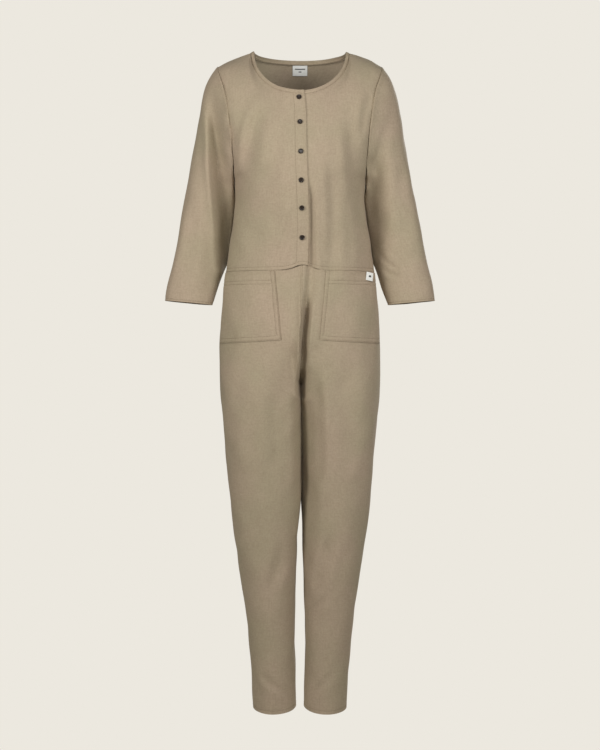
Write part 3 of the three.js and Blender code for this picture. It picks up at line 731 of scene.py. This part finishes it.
def stitches(name, rows, material):
    """One joined mesh of the stitches along some rows of points and normals."""
    places = [stitch_places(*row) for row in rows]
    middle, course, up = (np.concatenate(parts) for parts in zip(*places))
    side = np.cross(course, up)
    rings = []
    for along, thick, height in STITCH_RINGS:
        centre = middle + course * (along * STITCH_LENGTH) + up * (height * STITCH_RADIUS)
        for k in range(STITCH_SIDES):
            turn = 2 * math.pi * k / STITCH_SIDES
            spoke = side * math.cos(turn) + up * math.sin(turn)
            rings.append(centre + spoke * (thick * STITCH_RADIUS))
    points = np.stack(rings, axis=1)
    faces = []
    for ring in range(len(STITCH_RINGS) - 1):
        for k in range(STITCH_SIDES):
            a, b = ring * STITCH_SIDES + k, ring * STITCH_SIDES + (k + 1) % STITCH_SIDES
            faces.append([a, a + STITCH_SIDES, b + STITCH_SIDES, b])
    last = (len(STITCH_RINGS) - 1) * STITCH_SIDES
    caps = [list(range(STITCH_SIDES)), [last + k for k in reversed(range(STITCH_SIDES))]]
    every = []
    for n in range(len(points)):
        start = n * points.shape[1]
        every += [[start + k for k in face] for face in faces + caps]
    piece = mesh_object(name, points.reshape(-1, 3), every)
    piece.data.materials.append(material)
    return piece


# ---- Buttons and tapes -----------------------------------------------------------------

BUTTONS = 6
BUTTON_SEGMENTS = 48
# Half section of a button in millimetres: a rolled rim round a shallow dish
BUTTON_SECTION = [
    (0.0, 0.0), (4.6, 0.0), (5.0, 0.15), (5.2, 0.5), (5.25, 1.1), (5.18, 1.6), (4.95, 2.0),
    (4.6, 2.25), (4.2, 2.3), (3.85, 2.2), (3.55, 1.95), (3.3, 1.75), (2.6, 1.66), (1.3, 1.72),
    (0.0, 1.75),
]
BUTTON_HEIGHT = max(height for _, height in BUTTON_SECTION) * MM

TAPE_STEPS = 13
TAPE_BOW = 0.5 * MM
TAPE_BOW_MIDDLE = 0.4  # lifts the bow by this part, to keep the tape on its node's place
TAPE_THICKNESS = 0.8 * MM

# Plain woven marks, as boxes in metres across and down the tape
LABEL_MARKS = [
    ((-11 * MM, 11 * MM), (-8.6 * MM, -6.4 * MM)),
    ((-3 * MM, 3 * MM), (-14.5 * MM, -12.5 * MM)),
]
TAB_MARKS = [((-3 * MM, 3.5 * MM), (-10 * MM, -6 * MM))]


def shifted(cloth, point):
    """How far folding has moved the cloth nearest to a point."""
    gaps = lengths(cloth.smooth - point)[..., 0]
    i, j = np.unravel_index(gaps.argmin(), gaps.shape)
    return cloth.outer[i, j] - cloth.smooth[i, j]


def node_points(name):
    """A CAD node's points, and the middle of its box."""
    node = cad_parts[name]
    solid = np.array([(node.matrix_world @ v.co)[:] for v in node.data.vertices])
    return solid, (solid.min(axis=0) + solid.max(axis=0)) / 2


def button(name, cloth, material):
    """A button on the place and axis of its CAD node."""
    solid, centre = node_points(name)
    axis = np.linalg.svd(solid - solid.mean(axis=0), full_matrices=False)[2][2]
    axis *= -np.sign(axis[1])
    base = centre - axis * BUTTON_HEIGHT / 2 + shifted(cloth, centre)
    across = np.cross(axis, (0, 0, 1))
    across /= np.linalg.norm(across)
    upward = np.cross(across, axis)
    points = []
    for k in range(BUTTON_SEGMENTS):
        turn = 2 * math.pi * k / BUTTON_SEGMENTS
        spoke = across * math.cos(turn) + upward * math.sin(turn)
        points += [base + spoke * (r * MM) + axis * (h * MM) for r, h in BUTTON_SECTION[1:-1]]
    rings = len(BUTTON_SECTION) - 2
    points += [base, base + axis * (BUTTON_SECTION[-1][1] * MM)]
    faces = []
    for k in range(BUTTON_SEGMENTS):
        a, b = k * rings, (k + 1) % BUTTON_SEGMENTS * rings
        faces += [[a + n, b + n, b + n + 1, a + n + 1] for n in range(rings - 1)]
        faces += [[len(points) - 2, b, a], [a + rings - 1, b + rings - 1, len(points) - 1]]
    piece = mesh_object(f"stud_{name}", np.array(points), faces)
    piece.data.materials.append(material)
    return piece


def tape(name, material, cloth, level=False):
    """A flat piece of woven tape on its CAD node's place, facing front, with its size. A
    level one lies level from side to side."""
    solid, centre = node_points(name)
    across, upward, normal = np.linalg.svd(solid - solid.mean(axis=0), full_matrices=False)[2]
    if normal[1] > 0:
        normal = -normal
    if abs(across[2]) > abs(upward[2]):
        across, upward = upward, across
    if level:
        upward = np.cross(normal, (1, 0, 0))
    if upward[2] < 0:
        upward = -upward
    across = np.cross(upward, normal)
    half = [np.abs((solid - centre) @ axis).max() for axis in (across, upward, normal)]
    middle = centre + shifted(cloth, centre)
    steps = np.linspace(-1, 1, TAPE_STEPS)
    outer = np.array([
        [
            middle + across * (u * half[0]) - upward * (v * half[1])
            + normal * (half[2] - TAPE_BOW * (u * u - TAPE_BOW_MIDDLE))
            for u in steps
        ]
        for v in steps
    ])
    thickness = np.full(outer.shape[:2], TAPE_THICKNESS)
    shell = thin_shell(f"tape_{name}", outer, normals_of(outer), thickness)
    shell.data.materials.append(material)
    reach = reaches_of(outer)
    add_cut_map(shell.data, reach["left"] - reach["left"][:, -1:] / 2, -reach["top"])
    return shell, (2 * half[0], 2 * half[1])


# ---- The garment -----------------------------------------------------------------------

BODICE_CELLS = (6, 9)
BACK_CELLS = (5, 9)
SLEEVE_CELLS = (9, 9)
LEG_CELLS = (6, 11)
POCKET_CELLS = (10, 22)
BINDING_CELLS = (6, 4)
WAIST_STITCH = 6.5 * MM
PLACKET_STITCH = 23 * MM
CUFF_STITCH = 4 * MM
HEM_STITCH = 7.5 * MM
FRONT_SEAM_STITCH = 4.5 * MM
FRONT_SEAM_END = 740 * MM
POCKET_STITCHES = (1.8 * MM, 9 * MM)
MOUTH_STITCHES = (20 * MM, 27 * MM)
BINDING_STITCH = 1.6 * MM
BINDING_THICKNESS = 2.4 * MM
BINDING_LAP = 1.8 * MM
BINDING_PROUD = 0.4 * MM


OTHER_SIDE = {"right": "left", "left": "right"}


def keep(piece, node=None):
    """Declares a piece: it rides on the body, and may stand for a CAD node."""
    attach(piece, "root")
    if node is not None:
        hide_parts(node)
    return piece


def bodice_front(side, calm):
    """A front: the border named as its side is its free edge at the centre, and the right
    one's is the placket's."""
    rows = [("bottom", WAIST_STITCH)]
    if side == "right":
        rows.append(("right", PLACKET_STITCH, [("bottom", WAIST_STITCH)]))
    return Cloth(
        f"front_bodice_{side}", BODICE_CELLS, (side, "bottom"), ["top", OTHER_SIDE[side]],
        hems=[side, "bottom"], rows=rows, calm=calm,
    )


def trouser(part, side):
    """A leg's front or back. The left front carries the centre seam's stitches."""
    rows = [("bottom", HEM_STITCH)]
    if (part, side) == ("front", "left"):
        rows.append(("left", FRONT_SEAM_STITCH, [("bottom", FRONT_SEAM_END)]))
    centre = side if part == "front" else OTHER_SIDE[side]
    return Cloth(
        f"{part}_trouser_{side}", LEG_CELLS, (centre, "top"), ["top", "left", "right"],
        hems=["bottom"], rows=rows,
    )


def pocket(side):
    """A patch pocket, sewn into the side seam and open at the top. The border named as its
    side is the one nearer the centre."""
    rows = []
    for distance in POCKET_STITCHES:
        rows.append((side, distance, [("bottom", distance)]))
        rows.append(("bottom", distance, [(side, distance)]))
    rows += [("top", distance, [(side, POCKET_STITCHES[1])]) for distance in MOUTH_STITCHES]
    return Cloth(
        f"pocket_{side}", POCKET_CELLS, (side, "bottom"), [OTHER_SIDE[side]],
        hems=["top", side, "bottom"], rows=rows,
    )


def cloths():
    """Every cut piece of twill."""
    calm = armhole_calm(["sleeve_right", "sleeve_left"])
    made = []
    for side in ("right", "left"):
        made.append(bodice_front(side, calm))
        made.append(
            Cloth(
                f"sleeve_{side}", SLEEVE_CELLS, ("left", "bottom"), ["top", "left", "right"],
                hems=["bottom"], rows=[("bottom", CUFF_STITCH)], calm=calm,
            )
        )
        made += [trouser("front", side), trouser("back", side), pocket(side)]
    made.append(
        Cloth(
            "back_bodice", BACK_CELLS, ("left", "bottom"), ["top", "left", "right"],
            hems=["bottom"], rows=[("bottom", WAIST_STITCH)], calm=calm,
        )
    )
    made.append(
        Cloth(
            "neck_binding", BINDING_CELLS, ("left", "bottom"), ["bottom"],
            rows=[("bottom", BINDING_STITCH)], calm=calm, thickness=BINDING_THICKNESS,
            spread=BINDING_LAP, proud=BINDING_PROUD,
        )
    )
    return {cloth.name: cloth for cloth in made}


def dress():
    """Makes and declares every piece of the garment."""
    made = cloths()
    fabric, sewing_thread = twill(), thread()
    for name, cloth in made.items():
        piece = keep(cloth.object(fabric), name)
        on_it = [keep(stitches(f"stitches_{name}", cloth.rows, sewing_thread))]
    polished = horn()
    for n in range(BUTTONS):
        name = f"button_{n + 1}"
        keep(button(name, made["front_bodice_right"], polished), name)
    label_tape = woven_tape("label_tape", LABEL_MARKS)
    label, size = tape("neck_label", label_tape, made["back_bodice"], level=True)
    keep(label, "neck_label")
    tab_tape = woven_tape("tab_tape", TAB_MARKS)
    tab, size = tape("pocket_tab", tab_tape, made["pocket_left"])
    keep(tab, "pocket_tab")


# ---- Camera, lights and floor ----------------------------------------------------------

EYE = (0.0, -3.6, -0.657)
LENS = 82.3  # in millimetres, as is SENSOR
SENSOR = 36.0
FLOOR_HEIGHT = -1.75
FLOOR_RADIUS = 1.2
FLOOR_SIDES = 96
WORLD_LIGHT = 0.18

# Soft round lights: name, place, target, diameter in metres, power in watts and colour
LIGHTS = [
    ("key", (-1.15, -1.3, -0.2), (0, 0, -0.2), 0.7, 16, (1.0, 0.99, 0.975)),
    ("fill", (1.0, -1.4, -0.25), (0, 0, -0.2), 0.8, 15, (0.99, 0.99, 1.0)),
    ("front", (0.0, -1.4, 0.5), (0, 0.05, -0.1), 0.5, 7.5, (1.0, 1.0, 1.0)),
    ("rear", (0.9, 2.2, 0.3), (0, 0, -0.5), 1.0, 44, (1.0, 1.0, 1.0)),
]


def camera():
    data = bpy.data.cameras.new("camera")
    data.lens, data.sensor_width = LENS, SENSOR
    eye = bpy.data.objects.new("camera", data)
    eye.location = EYE
    eye.rotation_euler = (math.radians(90), 0, 0)
    bpy.context.collection.objects.link(eye)
    bpy.context.scene.camera = eye


def area_light(name, place, target, size, power, colour):
    data = bpy.data.lights.new(name, "AREA")
    data.shape, data.size, data.energy, data.color = "DISK", size, power, colour
    lamp = bpy.data.objects.new(name, data)
    lamp.location = place
    lamp.rotation_euler = (Vector(target) - Vector(place)).to_track_quat("-Z", "Y").to_euler()
    bpy.context.collection.objects.link(lamp)


def surroundings():
    """A plain pale world that shows paler than it lights, and a floor disc."""
    world = bpy.data.worlds.new("studio")
    bpy.context.scene.world = world
    world.use_nodes = True
    tree = world.node_tree
    background = tree.nodes["Background"]
    background.inputs["Color"].default_value = BACKGROUND
    seen = tree.nodes.new("ShaderNodeLightPath").outputs["Is Camera Ray"]
    strength = tree.nodes.new("ShaderNodeMapRange")
    strength.inputs["To Min"].default_value = WORLD_LIGHT
    tree.links.new(seen, strength.inputs["Value"])
    tree.links.new(strength.outputs[0], background.inputs["Strength"])
    mesh = bmesh.new()
    bmesh.ops.create_circle(mesh, cap_ends=True, segments=FLOOR_SIDES, radius=FLOOR_RADIUS)
    floor_mesh = bpy.data.meshes.new("floor")
    mesh.to_mesh(floor_mesh)
    mesh.free()
    floor = bpy.data.objects.new("floor", floor_mesh)
    floor.location.z = FLOOR_HEIGHT
    floor.data.materials.append(floor_paint())
    bpy.context.collection.objects.link(floor)


camera()
surroundings()
for light in LIGHTS:
    area_light(*light)
bpy.context.scene.view_settings.view_transform = "Standard"
dress()
